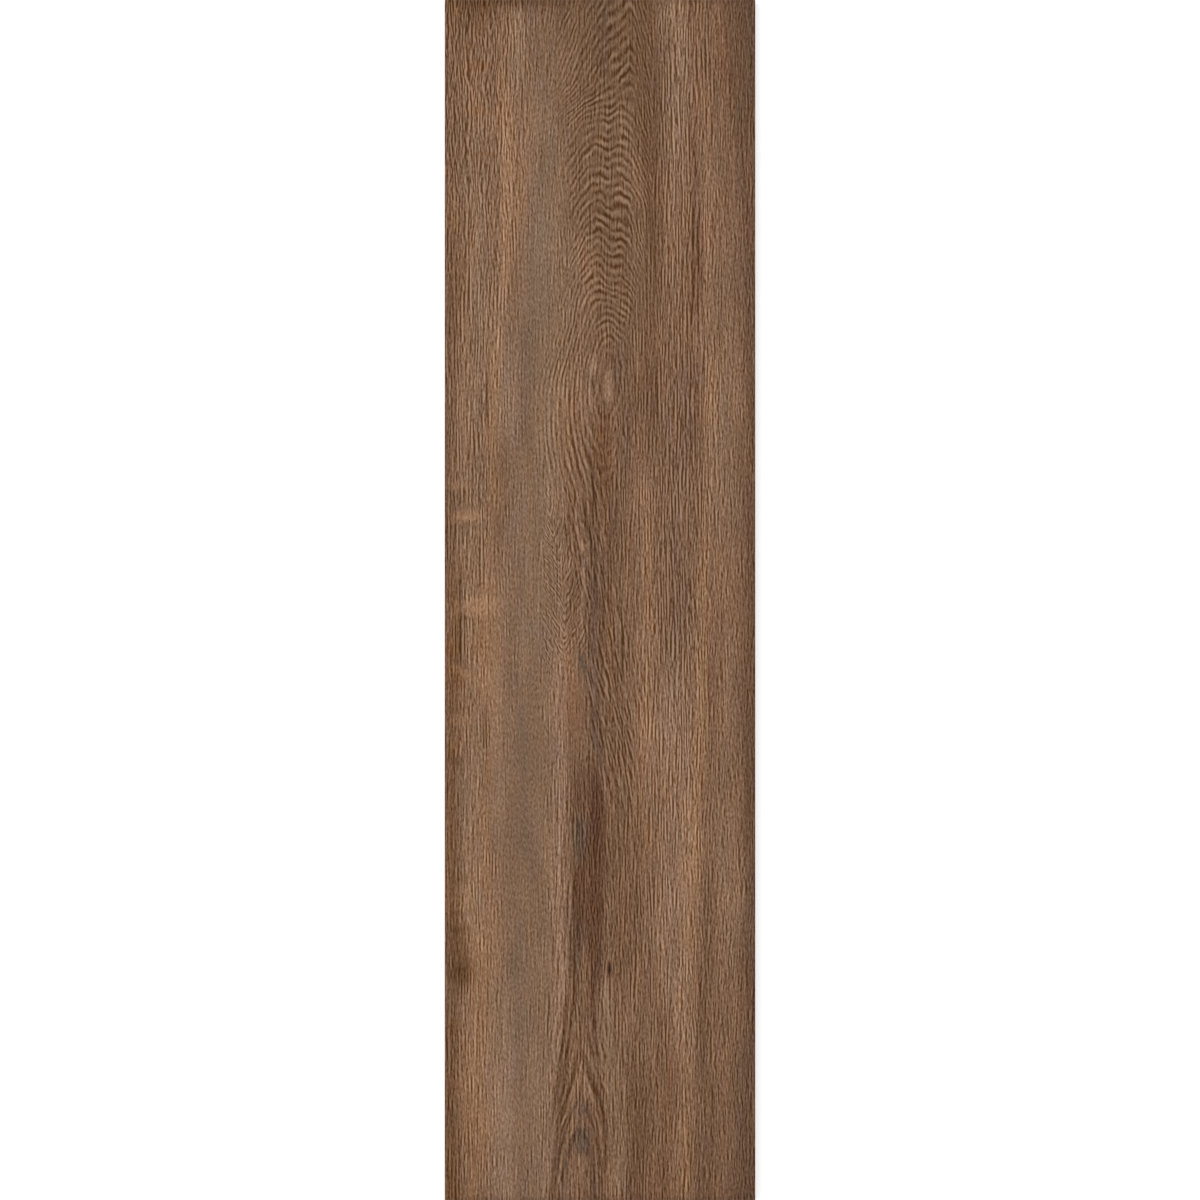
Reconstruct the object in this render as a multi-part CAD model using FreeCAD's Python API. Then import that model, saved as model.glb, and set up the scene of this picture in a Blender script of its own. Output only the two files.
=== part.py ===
"""Wood look porcelain plank tile: one dry-pressed, fired body of porcelain stoneware.

The tile lies on its back with the glazed face up.  Its length runs along Y, its width along X,
and the origin is the middle of the back.  All sizes are in millimetres.
"""

import FreeCAD, Part
import math
import os

# Format of the plank
LENGTH = 850.0
WIDTH = 220.0
THICKNESS = 9.5

# Section of the pressed edge, the same on all four sides
ARRIS_RADIUS = 1.0        # rounded edge of the glazed face
FLANK_LEAN_DEG = 4.0      # lean of the upper side wall, so that the punch lets go of the tile
LAND_TOP = 6.0            # height where the upright lower wall ends and the leaning wall starts
BACK_CHAMFER = 0.6        # broken edge of the back

# Key on the back: a lattice of ribs round shallow square cells that hold the adhesive
CELL_PITCH = 25.0
RIB_WIDTH = 3.0
KEY_DEPTH = 0.7
CELL_DRAFT_DEG = 40.0     # slope of a cell's walls, measured from upright
LEAST_RIM = 8.0           # plain margin that the lattice leaves round the back


def edge_section(span):
    """Face of the tile's section over a span: chamfered back, upright land, leaning flank, round arris."""
    lean = math.radians(FLANK_LEAN_DEG)
    half = span / 2
    flank_rise = THICKNESS - ARRIS_RADIUS - LAND_TOP
    centre_across = half - (ARRIS_RADIUS + flank_rise * math.sin(lean)) / math.cos(lean)
    centre_up = THICKNESS - ARRIS_RADIUS

    def on_arris(angle):
        return (centre_across + ARRIS_RADIUS * math.cos(angle), centre_up + ARRIS_RADIUS * math.sin(angle))

    arris_foot = on_arris(lean)
    arris_middle = on_arris((lean + math.pi / 2) / 2)
    arris_top = on_arris(math.pi / 2)
    chamfer_foot = (half - BACK_CHAMFER, 0)
    land_foot = (half, BACK_CHAMFER)
    land_head = (half, LAND_TOP)

    def right(point):
        return FreeCAD.Vector(point[0], 0, point[1])

    def left(point):
        return FreeCAD.Vector(-point[0], 0, point[1])

    def arris(side):
        return Part.Arc(side(arris_foot), side(arris_middle), side(arris_top)).toShape()

    def line(start, end):
        return Part.LineSegment(start, end).toShape()

    edges = [line(left(chamfer_foot), right(chamfer_foot)), line(left(arris_top), right(arris_top))]
    for side in (left, right):
        edges.append(line(side(chamfer_foot), side(land_foot)))
        edges.append(line(side(land_foot), side(land_head)))
        edges.append(line(side(land_head), side(arris_foot)))
        edges.append(arris(side))
    return Part.Face(Part.Wire(Part.__sortEdges__(edges)))


def pressed_blank():
    """Tile with its edge section on all four sides, meeting in mitres at the square corners."""
    across = edge_section(WIDTH)
    across.translate(FreeCAD.Vector(0, -LENGTH / 2, 0))
    plank = across.extrude(FreeCAD.Vector(0, LENGTH, 0))
    along = edge_section(LENGTH)
    along.rotate(FreeCAD.Vector(0, 0, 0), FreeCAD.Vector(0, 0, 1), 90)
    along.translate(FreeCAD.Vector(-WIDTH / 2, 0, 0))
    return plank.common(along.extrude(FreeCAD.Vector(WIDTH, 0, 0)))


def square(side, height):
    """Closed square wire of a side's length, centred on the Z axis at a height."""
    half = side / 2
    corners = [(-half, -half), (half, -half), (half, half), (-half, half)]
    points = [FreeCAD.Vector(x, y, height) for x, y in corners]
    return Part.makePolygon(points + points[:1])


def key_cell():
    """Solid that one cell takes out of the back, wider at its mouth, centred on the origin."""
    mouth = CELL_PITCH - RIB_WIDTH
    taper = 2 * KEY_DEPTH * math.tan(math.radians(CELL_DRAFT_DEG))
    return Part.makeLoft([square(mouth, 0), square(mouth - taper, KEY_DEPTH)], True, True)


def cell_centres(span):
    """Positions of the whole cells that fit in a span inside the rim, spaced evenly about its middle."""
    count = int((span - 2 * LEAST_RIM + RIB_WIDTH) // CELL_PITCH)
    return [(i - (count - 1) / 2) * CELL_PITCH for i in range(count)]


def plank_tile():
    """Pressed blank with the cells of the key taken out of its back."""
    cell = key_cell()
    cells = [
        cell.translated(FreeCAD.Vector(x, y, 0))
        for x in cell_centres(WIDTH)
        for y in cell_centres(LENGTH)
    ]
    return pressed_blank().cut(Part.makeCompound(cells))


def main():
    os.makedirs("parts", exist_ok=True)
    tile = plank_tile().Solids[0]
    tile.exportStep("parts/plank_tile.step")
    print("plank_tile", "valid", tile.isValid(), "volume_cm3", round(tile.Volume / 1000, 1), tile.BoundBox)


main()
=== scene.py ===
"""Looks of the wood look porcelain plank tile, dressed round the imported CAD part.

The tile is one dry-pressed and fired body of porcelain stoneware.  Its face carries an oak print under a
matt glaze, with a shallow relief that follows the grain.  Its sides and back are bare biscuit.

Sizes are in millimetres until a mesh is made from them.  A place on the face is read as on a plan with the
head edge at the top: across from the middle line, positive to the right, and down from the head edge.
"""

import logging
import math
from dataclasses import dataclass, field
from enum import IntEnum

import bpy
import numpy as np
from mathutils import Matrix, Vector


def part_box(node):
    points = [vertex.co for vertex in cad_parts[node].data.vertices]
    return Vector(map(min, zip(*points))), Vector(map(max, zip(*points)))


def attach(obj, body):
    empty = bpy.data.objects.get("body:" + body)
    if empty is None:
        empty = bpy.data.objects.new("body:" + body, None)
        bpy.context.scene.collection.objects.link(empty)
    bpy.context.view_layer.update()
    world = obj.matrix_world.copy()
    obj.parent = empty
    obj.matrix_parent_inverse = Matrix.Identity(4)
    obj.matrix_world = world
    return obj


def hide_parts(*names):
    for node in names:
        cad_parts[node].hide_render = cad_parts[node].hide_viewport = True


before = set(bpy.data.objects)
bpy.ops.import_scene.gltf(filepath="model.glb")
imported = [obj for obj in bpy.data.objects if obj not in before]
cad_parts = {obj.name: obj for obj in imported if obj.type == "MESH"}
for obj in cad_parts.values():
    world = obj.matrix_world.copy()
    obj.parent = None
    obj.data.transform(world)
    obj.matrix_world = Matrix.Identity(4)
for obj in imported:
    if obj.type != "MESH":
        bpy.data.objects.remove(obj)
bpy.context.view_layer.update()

NODE = "plank_tile"
BODY = "root"
METRE = 1000.0
BAKE_MAP = "OFBake"
WHITE = (1.0, 1.0, 1.0, 1.0)
NOISE_MIDDLE = 0.5

log = logging.getLogger("plank_tile")


class Zone(IntEnum):
    """Surfaces of the tile, numbered as its material slots."""

    GLAZE = 0
    BISCUIT = 1


def linear(colour: str) -> tuple[float, float, float]:
    """Turns an sRGB hex colour into linear red, green and blue.

    Args:
        colour: six hex digits after a hash sign.

    Returns:
        The three linear values from 0 to 1.
    """
    shares = [int(colour[i:i + 2], 16) / 255 for i in (1, 3, 5)]
    return tuple(s / 12.92 if s <= 0.04045 else ((s + 0.055) / 1.055) ** 2.4 for s in shares)


def add_node(
    tree: bpy.types.NodeTree,
    kind: str,
    inputs: dict[str | int, object] | None = None,
    **settings: object,
) -> bpy.types.Node:
    """Adds a node to a tree with its settings, input values and links.

    Args:
        tree: the node tree of a material or world.
        kind: the node's type, without Blender's prefix for shader nodes.
        inputs: by input name or number, a value to set or an output socket to link.
        settings: the node's own properties by name.

    Returns:
        The new node.
    """
    node = tree.nodes.new("ShaderNode" + kind)
    for name, value in settings.items():
        setattr(node, name, value)
    for key, value in (inputs or {}).items():
        if isinstance(value, bpy.types.NodeSocket):
            tree.links.new(value, node.inputs[key])
        else:
            node.inputs[key].default_value = value
    return node


def empty_tree(owner: bpy.types.Material | bpy.types.World) -> bpy.types.NodeTree:
    """Turns on the nodes of a material or world and clears them.

    Args:
        owner: the material or world.

    Returns:
        Its empty node tree.
    """
    owner.use_nodes = True
    owner.node_tree.nodes.clear()
    return owner.node_tree


def ease(value: np.ndarray, low: np.ndarray | float, high: np.ndarray | float) -> np.ndarray:
    """Rises smoothly from 0 at a low value to 1 at a high one.

    Args:
        value: where to read the rise.
        low: value up to which it is 0.
        high: value from which it is 1.

    Returns:
        The eased share at each value.
    """
    share = np.clip((value - low) / (high - low), 0, 1)
    return share * share * (3 - 2 * share)


def within(value: np.ndarray, span: tuple[float, float, float, float]) -> np.ndarray:
    """Rises smoothly from 0 to 1 at the start of a span and falls back to 0 at its end.

    Args:
        value: where to read it.
        span: where it starts and ends to rise, and where it starts and ends to fall.

    Returns:
        The share at each value.
    """
    rise_start, rise_end, fall_start, fall_end = span
    return ease(value, rise_start, rise_end) * (1 - ease(value, fall_start, fall_end))


@dataclass(frozen=True)
class Course:
    """A value that changes down or across the plank, given at stations and rounded between them.

    Attributes:
        stations: pairs of distance and value.
        rounding: distance to each side over which a station's corner is rounded.
        taps: number of readings that are averaged over that distance.
        fall: how much less the outermost readings weigh than the middle one.
    """

    stations: tuple[tuple[float, float], ...]
    rounding: float = 20.0
    taps: int = 9
    fall: float = 0.8

    def at(self, distance: np.ndarray) -> np.ndarray:
        """Reads the course.

        Args:
            distance: distances down from the head edge, or across from the middle line.

        Returns:
            The value at each distance.
        """
        places, values = zip(*self.stations)
        taps = np.linspace(-1, 1, self.taps)
        weights = 1 - self.fall * np.abs(taps)
        shifts = taps * self.rounding
        readings = [w * np.interp(distance + s, places, values) for s, w in zip(shifts, weights)]
        return sum(readings) / weights.sum()


@dataclass(frozen=True)
class Drift:
    """Seeded smooth noise about nought, with cells of a set width across and length along the plank.

    Attributes:
        width: width of a cell.
        length: length of a cell.
        seed: seed of the noise.
        height: the most that the noise rises or falls.
        cells: number of cells each way, enough to cover the plank.
    """

    width: float
    length: float
    seed: int
    height: float
    cells: int = 512

    def at(self, across: np.ndarray, down: np.ndarray) -> np.ndarray:
        """Reads the noise.

        Args:
            across: distances from the middle line.
            down: distances from the head edge.

        Returns:
            The noise at each place.
        """
        draw = np.random.default_rng(self.seed)
        lattice = draw.uniform(-self.height, self.height, (self.cells, self.cells))
        column = across / self.width + self.cells / 2
        row = down / self.length + self.cells / 4
        left = np.floor(column).astype(int)
        top = np.floor(row).astype(int)
        right_share = ease(column - left, 0, 1)
        low_share = ease(row - top, 0, 1)
        upper = lattice[top, left] * (1 - right_share) + lattice[top, left + 1] * right_share
        lower = lattice[top + 1, left] * (1 - right_share) + lattice[top + 1, left + 1] * right_share
        return upper * (1 - low_share) + lower * low_share


@dataclass(frozen=True)
class Patch:
    """Soft-edged patch on the face.

    Attributes:
        across: middle of the patch, from the middle line.
        down: middle of the patch, from the head edge.
        half_width: half of its width.
        half_length: half of its length.
        strength: how much of it shows at its middle.
        colour: colour of the print there, where it has one of its own.
        lean: distance that it moves down for each millimetre across.
        side_edge: steepness of its sides.
        end_edge: steepness of its ends.
    """

    across: float
    down: float
    half_width: float
    half_length: float
    strength: float
    colour: str = ""
    lean: float = 0.0
    side_edge: int = 2
    end_edge: int = 4

    def at(self, across: np.ndarray, down: np.ndarray) -> np.ndarray:
        """Reads the patch.

        Args:
            across: distances from the middle line.
            down: distances from the head edge.

        Returns:
            How much of the patch shows at each place.
        """
        side = across - self.across
        past = down - self.down - self.lean * side
        sides = (side / self.half_width) ** self.side_edge
        ends = (past / self.half_length) ** self.end_edge
        return self.strength * np.exp(-sides - ends)


def total(parts: tuple[Drift | Patch, ...], across: np.ndarray, down: np.ndarray) -> np.ndarray:
    """Adds up noises or patches at each place."""
    return sum(part.at(across, down) for part in parts)


@dataclass(frozen=True)
class Streak:
    """Soft-edged streak of one brown that runs down the plank.

    Attributes:
        colour: colour of the streak.
        stations: groups of distance from the head edge, place across, half width and strength.
        rounding: distance to each side over which a station's corner is rounded.
        edge: steepness of its sides.
    """

    colour: str
    stations: tuple[tuple[float, float, float, float], ...]
    rounding: float = 8.0
    edge: float = 2.5

    def at(self, across: np.ndarray, down: np.ndarray) -> np.ndarray:
        """Reads the streak.

        Args:
            across: distances from the middle line.
            down: distances from the head edge.

        Returns:
            How much of the streak shows at each place.
        """
        places, *columns = zip(*self.stations)
        courses = (Course(tuple(zip(places, column)), self.rounding) for column in columns)
        centre, half_width, strength = (course.at(down) for course in courses)
        return strength * np.exp(-np.abs((across - centre) / half_width) ** self.edge)


# Pale ray flecks that cross the straight grain near the left edge.
RAY_FLECKS = (
    Patch(-101, 344, 8, 3.5, 0.9, "#957358"),
    Patch(-95, 366, 11, 4.0, 0.9, "#9e795d", -0.05),
    Patch(-87, 430, 13, 6.5, 0.9, "#9f795d", -0.05),
    Patch(-96, 477, 9, 3.0, 0.7, "#9c775b", 0.5),
    Patch(-96, 510, 9, 3.5, 0.6, "#947258"),
)


@dataclass(frozen=True)
class PrintTones:
    """Broad tones of the oak print, under its fine grain.

    Attributes:
        ground: brown of most of the print.
        streaks: streaks of other browns, laid over each other in order.
        spots: short patches of other browns, laid over the streaks.
        strokes: thin dark lines, drawn one by one over the rest.
        fray: noises that fray the streaks' edges.
        shade: noises that mottle the print darker and paler.
        warmth: noises that mottle the print redder and greyer.
        warmth_shares: how much of that mottle goes to red, green and blue.
        rim_shade_colour: dark brown of painted shade towards the sides of the tile, over the arris.
        rim_shade_width: width over which that painted shade fades.
        rim_shade_strength: how much of its colour shows at the arris.
    """

    ground: str = "#7c5d47"
    streaks: tuple[Streak, ...] = (
        # Grey calm band left of the arches, with darker and paler veins
        Streak("#816752", (
            (0, -42, 14, 0.1), (60, -42, 14, 0.5), (130, -40, 16, 0.9), (200, -38, 19, 0.9),
            (270, -42, 20, 0.8), (330, -48, 18, 0.7), (425, -48, 18, 0.8), (520, -50, 17, 0.6),
            (600, -48, 18, 0.6), (850, -48, 19, 0.6),
        )),
        Streak("#6f5643", ((205, -50, 6, 0), (225, -50, 7, 0.35), (300, -51, 6, 0.35), (330, -52, 6, 0))),
        Streak("#6f5643", (
            (465, -51, 8, 0), (490, -52, 10, 0.4), (530, -55, 11, 0.5), (560, -55, 11, 0.5),
            (600, -51, 9, 0.3), (640, -48, 8, 0),
        )),
        Streak("#8c6d55", (
            (245, -30, 6, 0), (275, -32, 8, 0.6), (305, -32, 8, 0.5), (330, -34, 6, 0.2),
            (425, -28, 5, 0.4), (500, -34, 5, 0.4), (600, -32, 6, 0.4), (650, -32, 4, 0.4),
            (700, -35, 4, 0.2), (850, -36, 5, 0.2),
        )),
        Streak("#94765f", ((288, -38, 5, 0), (305, -38, 6, 0.5), (340, -38, 6, 0.45), (360, -38, 5, 0))),
        Streak("#957560", (
            (420, -27, 4, 0), (440, -27, 5, 0.6), (480, -28, 5, 0.65), (550, -28, 5, 0.6),
            (600, -28, 5, 0.5), (655, -28, 6, 0.7), (700, -29, 6, 0.5), (730, -31, 5, 0.4),
            (800, -34, 5, 0.3), (850, -38, 5, 0.2),
        )),
        Streak("#90735b", (
            (0, -57, 5, 0.3), (15, -58.5, 6, 0.9), (35, -58, 6, 0.9), (55, -58, 5, 0.4), (70, -57, 5, 0),
        )),
        # Ochre stripe down the left, and the pale band on its right
        Streak("#957053", (
            (20, -67, 5, 0.2), (60, -67, 5, 0.4), (110, -65, 6, 0.75), (160, -66.5, 6, 0.75),
            (190, -68, 5.5, 0.8), (220, -71, 5, 0.55), (262, -72.5, 5, 0.65), (300, -73.5, 5, 0.65),
            (340, -76, 5, 0.4), (380, -79, 6, 0.4), (425, -80, 8, 0.6), (480, -80, 8, 0.6),
            (530, -80, 7, 0.4), (570, -82, 6, 0.5), (620, -82, 6, 0.6), (660, -82, 8, 0.6),
            (700, -84, 10, 0.8), (760, -86, 10, 0.7), (800, -86, 9, 0.45), (850, -86, 9, 0.4),
        )),
        Streak("#957863", (
            (180, -70, 5, 0), (195, -70, 6, 0.3), (230, -69, 6, 0.3), (266, -66, 8, 0.55),
            (300, -66, 8, 0.4), (322, -66, 6, 0), (350, -61, 6, 0), (372, -61, 6, 0.2), (420, -68, 6, 0.2),
            (480, -71, 6, 0.4), (550, -71, 6, 0.35), (590, -71, 6, 0.2), (655, -70, 7, 0),
            (700, -69, 8, 0.35), (761, -70, 8, 0.65), (797, -70, 8, 0.7), (850, -68, 9, 0.5),
        )),
        Streak("#85624a", (
            (60, -53, 5, 0), (80, -52, 6, 0.5), (125, -53, 6, 0.5), (165, -53, 6, 0.4), (185, -55, 5, 0),
        )),
        # Pale veins of the left edge, then its dark head corner and dark rim patches
        Streak("#8d705a", (
            (80, -84, 7, 0), (95, -84, 9, 0.4), (125, -89, 12, 0.45), (160, -86, 9, 0.3),
            (195, -88, 11, 0.5), (232, -85, 11, 0.5), (270, -89, 10, 0.45), (300, -92, 9, 0.4),
            (330, -93, 8, 0),
        )),
        Streak("#907158", (
            (300, -93, 8, 0), (340, -93, 8, 0.6), (400, -92, 7, 0.5), (440, -93, 7, 0.6),
            (490, -91, 8, 0.5), (550, -91, 9, 0.4), (590, -92, 9, 0.5), (620, -92, 9, 0.8),
            (655, -92, 9, 0.7), (688, -88, 8, 0), (726, -92, 8, 0.35), (760, -92, 7, 0),
        )),
        Streak("#52351d", (
            (0, -90, 20, 0.8), (8, -90, 20, 0.6), (16, -91, 18, 0.45), (26, -92, 16, 0.3),
            (50, -95, 12, 0.1), (70, -95, 12, 0),
        )),
        Streak("#67472c", (
            (30, -104, 7, 0.2), (90, -105, 6, 0.2), (145, -103, 7, 0.15), (165, -101, 9, 0.25),
            (185, -101, 8, 0.3), (205, -101, 7, 0.6), (222, -102, 7, 0.4), (250, -105, 5, 0.2),
            (300, -106, 5, 0.1), (340, -106, 5, 0), (372, -106, 5, 0), (405, -105, 5, 0.25),
            (430, -103, 6, 0.65), (460, -103, 6, 0.65), (520, -106, 5, 0.5), (640, -104, 6, 0.6),
            (672, -101, 9, 0.65), (690, -98, 12, 0.85), (706, -104, 6, 0.45), (745, -105, 6, 0.5),
            (780, -106, 6, 0.65), (850, -105, 7, 0.85),
        )),
        Streak("#482c16", ((676, -101, 8, 0), (690, -100, 9, 0.5), (702, -99, 7, 0))),
        # Darker field of the arches and the dark line on its right
        Streak("#634a35", (
            (0, 2, 42, 0.75), (30, 5, 38, 0.7), (60, 9, 31, 0.65), (100, 2, 33, 0.45), (130, -2, 25, 0.45),
            (155, -1, 19, 0.8), (175, 4, 16, 0.6), (200, 12, 16, 0.4), (240, 18, 14, 0.35),
            (280, 22, 11, 0.3), (310, 22, 8, 0.2), (330, 20, 6, 0),
        )),
        Streak("#674a35", (
            (0, 34, 11, 1), (30, 35, 10, 0.9), (70, 36, 8, 0.9), (130, 38, 7, 0.95), (220, 37, 6, 0.7),
            (280, 36, 6, 0.6), (320, 36, 6, 0.3), (345, 36, 5, 0),
        )),
        # Pale band right of that, and the dark line at its side
        Streak("#8c6e58", (
            (0, 50, 10, 0.7), (35, 54, 11, 0.6), (60, 55, 9, 0.45), (95, 54, 9, 0.5), (125, 56, 7, 0.2),
            (200, 50, 6, 0.1), (240, 50, 6, 0),
        )),
        Streak("#624130", (
            (0, 66, 3, 0.3), (60, 66, 3, 0.3), (120, 66, 3, 0.4), (150, 68, 3, 0.6), (190, 68, 3.5, 0.7),
            (215, 67, 3.5, 0.6), (235, 66, 4, 0.4), (270, 66, 5, 0.4), (300, 66, 5, 0.4), (330, 62, 6, 0),
        )),
        # Far right field, its beige vein and the dark line beside the vein
        Streak("#8a6c56", (
            (200, 90, 8, 0), (250, 90, 10, 0.5), (280, 88, 12, 0.65), (340, 86, 11, 0.6),
            (385, 90, 10, 0.3), (410, 92, 8, 0), (500, 92, 10, 0.2), (550, 86, 10, 0.5), (600, 90, 10, 0.5),
            (660, 93, 9, 0.5), (685, 93, 9, 0),
        )),
        Streak("#977254", (
            (80, 78, 3, 0), (130, 79, 4, 0.25), (160, 77, 4, 0.35), (230, 80, 5, 0.25), (290, 77, 4, 0.4),
            (350, 76, 3.5, 0.4), (395, 73, 4, 0.5), (440, 73, 5, 0.6), (497, 71.5, 5, 0.6),
            (541, 69, 7, 0.6), (570, 66, 8, 0.55), (610, 64, 9, 0.6), (646, 62, 9, 0.65),
            (690, 61, 9, 0.65), (740, 61, 8, 0.6), (780, 61, 6, 0.5), (850, 60, 6, 0.3),
        )),
        Streak("#614735", (
            (450, 77, 4, 0), (480, 78, 5, 0.35), (530, 79, 5, 0.2), (560, 79, 5, 0.2), (640, 77, 6, 0.45),
            (690, 75, 6, 0.5), (720, 73, 6, 0.5), (760, 74, 6, 0.5), (800, 75, 8, 0.5), (850, 76, 12, 0.55),
        )),
        # Dark right edge
        Streak("#584030", (
            (0, 102, 15, 0.8), (20, 103, 14, 0.75), (50, 99, 19, 0.75), (90, 101, 13, 0.6),
            (120, 104, 9, 0.5), (160, 106, 7, 0.55), (230, 107, 6, 0.45), (330, 107, 6, 0.6),
            (372, 107, 6, 0.45), (425, 107, 7, 0.55), (500, 107, 7, 0.5), (560, 107, 7, 0.75),
            (640, 108, 6, 0.5), (700, 105, 10, 0.5), (800, 105, 9, 0.5), (850, 104, 12, 0.9),
        )),
        Streak("#774f34", ((0, 85, 6, 0.3), (40, 86, 5, 0.3), (70, 88, 4, 0.2), (90, 90, 4, 0))),
        # Lilac field below the pale band, and the pale veins left and right of it
        Streak("#6c5345", (
            (235, 56, 11, 0), (265, 58, 12, 0.4), (310, 56, 13, 0.5), (340, 56, 14, 0.35),
            (380, 58, 12, 0.3), (425, 56, 7, 0.3), (465, 54, 6, 0.2), (480, 52, 6, 0),
        )),
        Streak("#957560", (
            (455, 54, 9, 0), (485, 54, 11, 0.5), (514, 48, 12, 0.7), (549, 56, 11, 0.4),
            (584, 54, 11, 0.35), (620, 52, 12, 0.45), (655, 49, 12, 0.5), (691, 52, 10, 0.45),
            (720, 55, 9, 0.3), (750, 58, 8, 0),
        )),
        Streak("#977358", (
            (330, 36, 3, 0), (350, 35, 4, 0.4), (400, 34, 5, 0.35), (470, 31, 6, 0.4), (560, 33, 5, 0.35),
            (600, 32, 4, 0.25), (640, 30, 3, 0),
        )),
        # Dark fields and the orange patch round the second eye
        Streak("#634631", (
            (285, 2, 4, 0), (300, 2, 6, 0.5), (325, 2, 11, 0.5), (345, 5, 15, 0.65), (370, 10, 13, 0.5),
            (425, 8, 14, 0.5), (480, 10, 12, 0.4), (590, 10, 11, 0.4), (640, 15, 9, 0.5),
            (680, 15, 9, 0.45), (710, 13, 8, 0),
        )),
        Streak("#5f463a", ((262, 24, 6, 0), (285, 25, 6, 0.25), (335, 24, 7, 0.35), (350, 24, 6, 0))),
        Streak("#704a2e", ((292, 2, 5, 0), (304, 2, 6, 0.4), (325, 1, 6, 0.4), (345, 2, 5, 0))),
        Streak("#574034", (
            (330, -6, 4, 0), (350, -5, 5, 0.3), (385, -2, 4, 0.25), (425, -4, 6, 0.55), (480, -4, 6, 0.5),
            (520, -3, 6, 0.6), (560, -2, 5, 0),
        )),
        Streak("#6a4f3b", ((285, -17, 5, 0), (303, -17, 6, 0.4), (330, -17, 5, 0))),
        Streak("#6a4f3b", ((395, -17, 5, 0), (410, -17, 6, 0.4), (440, -17, 6, 0.35), (455, -17, 5, 0))),
        Streak("#7f5c42", (
            (450, -22, 5, 0), (470, -22, 5, 0.5), (490, -20, 7, 0.8), (515, -19, 7, 0.8),
            (530, -18, 6, 0.4), (545, -17, 5, 0),
        )),
        # Dark streak down the middle and its brown side
        Streak("#5a3d2a", ((530, -12, 7, 0), (550, -12, 8, 0.6), (565, -12, 7, 0.4), (580, -12, 6, 0))),
        Streak("#4c2e20", (
            (535, -4, 5, 0), (555, -4, 5, 0.7), (580, -3, 5.5, 0.85), (600, -4, 6, 0.85), (620, -4, 7, 0.7),
            (650, -3, 6, 0.75), (680, -3, 5, 0.6), (705, -3, 5, 0.5), (735, -5, 4, 0.3), (760, -6, 4, 0),
        )),
        Streak("#5e402c", (
            (560, -10, 6, 0), (590, -10, 9, 0.5), (620, -9, 11, 0.75), (660, -9, 11, 0.75),
            (700, -10, 9, 0.5), (740, -11, 6, 0.1), (770, -4, 7, 0.15), (800, -2, 7, 0.2),
            (850, -2, 7, 0.25),
        )),
        Streak("#553924", (
            (545, -15, 4, 0), (572, -16, 4.5, 0.35), (620, -16, 4.5, 0.5), (680, -17, 4, 0.45),
            (715, -19, 3, 0),
        )),
        # Pale and brown veins at the foot
        Streak("#896d55", (
            (685, 4, 4, 0), (705, 3, 5, 0.6), (740, 5, 6, 0.6), (770, 9, 6, 0.4), (850, 14, 6, 0.3),
        )),
        Streak("#5f4430", (
            (725, 25, 6, 0), (755, 26, 7, 0.4), (797, 27, 8, 0.75), (832, 27, 8, 0.65), (850, 27, 8, 0.6),
        )),
        Streak("#6b4a33", (
            (735, 50, 6, 0), (760, 49, 7, 0.4), (800, 47, 6, 0.2), (825, 43, 8, 0.5), (850, 42, 9, 0.5),
        )),
        Streak("#70513c", ((400, 45, 6, 0), (415, 44, 7, 0.35), (440, 45, 7, 0.35), (460, 45, 6, 0))),
    )
    spots: tuple[Patch, ...] = RAY_FLECKS + (
        # Blue-grey stains right of the chevrons, in the dark streak and under the arches of the foot
        Patch(-12.5, 397, 4.5, 5, 0.5, "#5d4a41", 1.2),
        Patch(-15.5, 413, 2.5, 4, 0.4, "#4f3b2e"),
        Patch(-13, 470, 3.5, 6, 0.7, "#54463d", 2.5),
        Patch(-14.5, 594, 4.5, 17, 0.75, "#594b42"),
        Patch(-12.5, 662, 3, 9, 0.25, "#594b42"),
        Patch(-16, 678, 3.5, 10, 0.25, "#5d4f46"),
        Patch(-13, 785, 4, 6, 0.45, "#54453b"),
        Patch(-13, 808, 6, 10, 0.75, "#54453b"),
        # Pale spindle in the streak, pale eyes of the arches and a small dark knot
        Patch(-12, 692, 2.5, 22, 0.6, "#87664c"),
        Patch(5.8, 273, 3.6, 12, 0.75, "#9c7a62"),
        Patch(-4.6, 259, 3, 8, 0.75, "#9d7b62"),
        Patch(-5, 283, 3, 8, 0.5, "#94725a"),
        Patch(7.5, 686, 1.8, 4.5, 1.0, "#2b1405"),
        # Brown bars across the grain at the left of the head and down the left edge
        Patch(-83.5, 48, 7, 3, 0.5, "#7a5231"),
        Patch(-87, 78.5, 6, 3, 0.5, "#7d5533"),
        Patch(-84, 110, 11, 2.5, 0.45, "#805834"),
        Patch(-101, 352, 8, 4, 0.12, "#67472c"),
        Patch(-94, 371.5, 6, 2.2, 0.4, "#67472c"),
        Patch(-96, 438, 6, 2.2, 0.55, "#5c3d22"),
        Patch(-104, 459, 5, 6, 0.5, "#74502f"),
        Patch(-103, 478, 6, 7, 0.4, "#75502f"),
        Patch(-105, 530, 4, 6, 0.4, "#785233"),
        Patch(-102, 540, 5, 4, 0.5, "#55391f"),
        Patch(-99, 622, 6, 2.5, 0.4, "#67452a"),
        Patch(-101, 647, 7, 2.5, 0.5, "#5c3b1e"),
        Patch(-101, 658, 8, 2.5, 0.6, "#563719"),
        Patch(-104, 728, 5, 7, 0.4, "#74502f"),
        # Painted shade: dark brown along the left of the head edge
        Patch(-60, 0, 40, 6, 0.5, "#563a20"),
    )
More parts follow.
